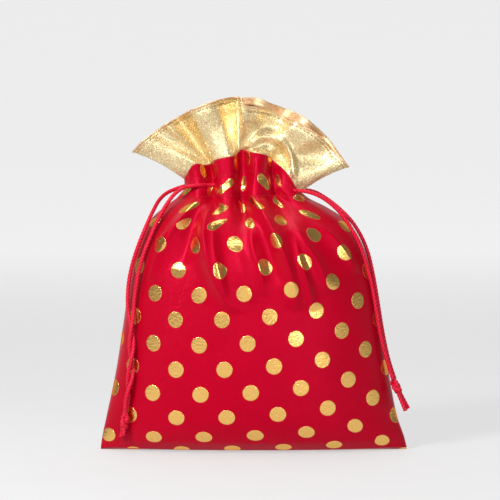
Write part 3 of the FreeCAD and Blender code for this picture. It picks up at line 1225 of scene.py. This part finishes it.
def drawstrings() -> tuple[Drawstring, Drawstring]:
    """The drawstring that leaves on the left and the one that leaves on the right."""
    left = Drawstring(
        "left",
        front=((-40.0, -10.9, 154.2), (-45.0, -11.2, 151.6), (-50.5, -12.4, 144.5), (-55.0, -14.0, 136.5),
               (-59.4, -15.6, 126.8), (-64.0, -16.2, 115.5), (-67.4, -15.4, 102.4), (-69.4, -14.6, 89.0),
               (-70.0, -15.0, 78.0), (-71.6, -16.9, 69.0), (-72.3, -15.4, 61.0), (-71.0, -14.3, 53.5),
               (-69.7, -16.0, 46.0), (-72.2, -17.8, 38.0), (-74.8, -16.8, 30.0), (-74.6, -14.8, 20.4)),
        back=((-40.0, 10.9, 154.2), (-48.0, 10.2, 152.0), (-54.8, 4.6, 147.5), (-59.0, -6.0, 139.5),
              (-63.2, -11.8, 130.0), (-67.6, -12.2, 119.0), (-71.4, -9.8, 107.0), (-73.4, -9.8, 95.0),
              (-73.4, -11.6, 84.0), (-72.0, -13.2, 76.0), (-70.0, -14.6, 69.0), (-69.6, -16.3, 61.0),
              (-71.2, -17.6, 53.5), (-73.0, -16.4, 46.0), (-73.2, -14.0, 38.0), (-72.2, -14.4, 30.0),
              (-75.4, -13.6, 20.4)),
        loop=((-40.0, -10.9, 154.2), (-35.0, -10.9, 154.9), (-30.5, -9.0, 155.1), (-25.5, -4.6, 155.1),
              (-2.0, -4.4, 155.1), (20.0, -4.2, 155.1), (20.0, 4.2, 155.1), (-2.0, 4.4, 155.1),
              (-22.0, 4.6, 155.1), (-30.0, 9.5, 155.1), (-40.0, 10.9, 154.2)),
        knot_at=(-75.1, -14.2, 17.6), knot_along=(-0.12, 0.0, -1.0),
        tails=(((-76.0, -13.0, 15.0), (-77.4, -12.8, 8.6)), ((-75.1, -15.3, 15.0), (-75.8, -15.8, 9.6))),
        lengths=(147.8, 158.0))
    right = Drawstring(
        "right",
        front=((25.0, -8.8, 151.9), (31.0, -10.2, 151.8), (41.0, -11.6, 147.6), (49.8, -11.8, 139.8),
               (57.0, -12.4, 129.5), (62.6, -11.6, 118.0), (66.8, -10.4, 104.5), (69.6, -9.6, 92.0),
               (71.8, -9.6, 78.0), (74.0, -9.2, 66.0), (77.2, -8.4, 53.5), (81.2, -7.2, 41.4)),
        back=((25.0, 10.9, 151.9), (33.5, 10.6, 152.0), (42.5, 8.8, 147.0), (51.0, 4.8, 140.4),
              (59.3, -1.3, 131.5), (65.9, -6.7, 118.3), (69.4, -7.4, 103.0), (72.0, -7.2, 88.0),
              (73.8, -6.9, 76.0), (76.0, -6.2, 64.0), (78.8, -5.4, 51.5), (82.3, -4.8, 41.6)),
        loop=((25.0, -8.8, 151.9), (19.5, -5.8, 151.9), (13.0, -4.4, 151.9), (-8.0, -4.4, 151.9),
              (-34.0, -4.2, 151.9), (-34.0, 4.2, 151.9), (-8.0, 4.4, 151.9), (12.0, 4.6, 151.9),
              (18.5, 9.5, 151.9), (25.0, 10.9, 151.9)),
        knot_at=(83.1, -6.0, 37.2), knot_along=(0.45, -0.05, -0.89),
        tails=(((84.6, -4.7, 35.0), (90.2, -5.0, 24.4)), ((83.7, -7.4, 35.0), (88.4, -8.3, 23.4))),
        lengths=(134.3, 141.0))
    return left, right


@dataclass
class Studio:
    """Pale floor and sweep, soft light, and a long lens a little above the pouch, in metres and watts."""

    distance: float = 1.6
    elevation: float = 3.0
    view_width: float = 0.2922
    aim: Point = (-0.0023, 0.0, 0.1169)
    lit_at: Point = (0.0, 0.0, 0.1)
    room: tuple[float, ...] = (0.95, 0.96, 0.98, 1.0)
    room_strength: float = 0.22
    lamps: tuple[tuple[str, Point, float, float], ...] = (
        ("key", (-0.62, -0.80, 0.75), 0.26, 16.0),
        ("fill", (0.50, -1.15, 0.25), 0.40, 3.4),
        ("front", (-0.10, -1.40, 0.55), 0.30, 4.5),
        ("top", (-0.05, 0.05, 1.1), 0.5, 6.0),
    )
    floor_reach: float = 6.0
    sweep_from: float = 2.2
    sweep_radius: float = 2.0

    def place(self, obj: Object, at: Vector, away: Vector) -> None:
        """Puts a camera or lamp at a place, looking along away."""
        obj.location = at
        obj.rotation_mode = "QUATERNION"
        obj.rotation_quaternion = away.to_track_quat("-Z", "Y")
        bpy.context.collection.objects.link(obj)

    def camera(self) -> None:
        """Creates the camera."""
        data = bpy.data.cameras.new("camera")
        data.sensor_width = 36.0
        data.lens = data.sensor_width * self.distance / self.view_width
        data.clip_end = 20.0
        camera = bpy.data.objects.new("camera", data)
        e = math.radians(self.elevation)
        back = Vector((0.0, -math.cos(e), math.sin(e)))
        self.place(camera, Vector(self.aim) + back * self.distance, -back)
        bpy.context.scene.camera = camera

    def light(self) -> None:
        """Soft boxes left, right, in front and above, and a bright room."""
        world = bpy.data.worlds.new("room")
        world.use_nodes = True
        world.node_tree.nodes["Background"].inputs[0].default_value = self.room
        world.node_tree.nodes["Background"].inputs[1].default_value = self.room_strength
        bpy.context.scene.world = world
        bpy.context.scene.view_settings.view_transform = "Standard"
        for name, at, size, power in self.lamps:
            data = bpy.data.lights.new(name, "AREA")
            data.size, data.energy = size, power
            self.place(bpy.data.objects.new(name, data), Vector(at), Vector(self.lit_at) - Vector(at))

    def floor(self) -> None:
        """A floor that sweeps up behind: z = radius - sqrt(radius^2 - (y - from)^2) past its flat part.

        It glows a little, more towards the back, which evens out the backdrop.
        """
        x = np.linspace(-self.floor_reach, self.floor_reach, 3)
        end = self.sweep_from + self.sweep_radius
        y = np.concatenate([[-self.floor_reach], np.linspace(self.sweep_from, end, 17)])
        fall = np.sqrt(np.clip(self.sweep_radius ** 2 - (y - self.sweep_from) ** 2, 0, None))
        z = np.where(y > self.sweep_from, self.sweep_radius - fall, 0.0)
        y, z = np.append(y, end), np.append(z, self.floor_reach)
        xx, yy = np.meshgrid(x, y)
        points = np.stack([xx, yy, np.broadcast_to(z[:, None], xx.shape) - 0.0001], -1)
        floor = new_object("floor", points, grid_faces(len(y), len(x)))
        s = Shader("paper")
        place = s.place()
        grain = s.noise(place, (40.0, 40.0, 40.0))
        depth = Signal(s, s.node("ShaderNodeSeparateXYZ", None, {0: place}).outputs[1])
        floor.data.materials.append(s.finish(
            Base_Color=s.mix(grain, (0.15, 0.15, 0.15), (0.17, 0.17, 0.17)), Roughness=0.8,
            Emission_Color=s.mix(depth.step(0.1, 2.6), (0.55, 0.55, 0.55), (0.755, 0.755, 0.755)),
            Emission_Strength=1.0))


def finishes() -> Finishes:
    """The finishes of the frill and of what is inside, by name."""
    return {
        "lame": Lame().make(),
        "lame_edge": Lame("lame_edge", (0.90, 0.66, 0.40), (0.66, 0.36, 0.16), 0.44).make(),
        # The hem thread is darker than the lame. The darkness is partly the thread's own colour and partly
        # painted shade of the groove along the hem line.
        "gold_thread": PlainCloth("gold_thread", (0.50, 0.27, 0.07), (0.30, 0.15, 0.04), 0.5).make(),
        "red_thread": PlainCloth("red_thread", (0.50, 0.004, 0.02), (0.30, 0.0, 0.01), 0.6).make(),
        "reverse": PlainCloth("satin_reverse", (0.46, 0.004, 0.025), (0.33, 0.0, 0.015), 0.75).make(),
    }


def main() -> None:
    """Builds the studio and the pouch, piece by piece."""
    logging.basicConfig(level=logging.INFO, format="%(message)s")
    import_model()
    studio = Studio()
    studio.camera()
    studio.light()
    studio.floor()
    yarn = SatinYarn().make()
    for drawstring in drawstrings():
        drawstring.build(yarn)
    finish = finishes()
    satin = PrintedSatin().make()
    body, frill, insides = Body(), Frill(), Insides()
    panels = {}
    for side in Side:
        panels[side], flat = body.build(side, satin)
        frill.build(side, panels[side][-1], flat[-1, :, 0], finish)
    insides.casing(panels, finish)
    insides.allowances(body, finish)


if __name__ == "__main__":
    main()
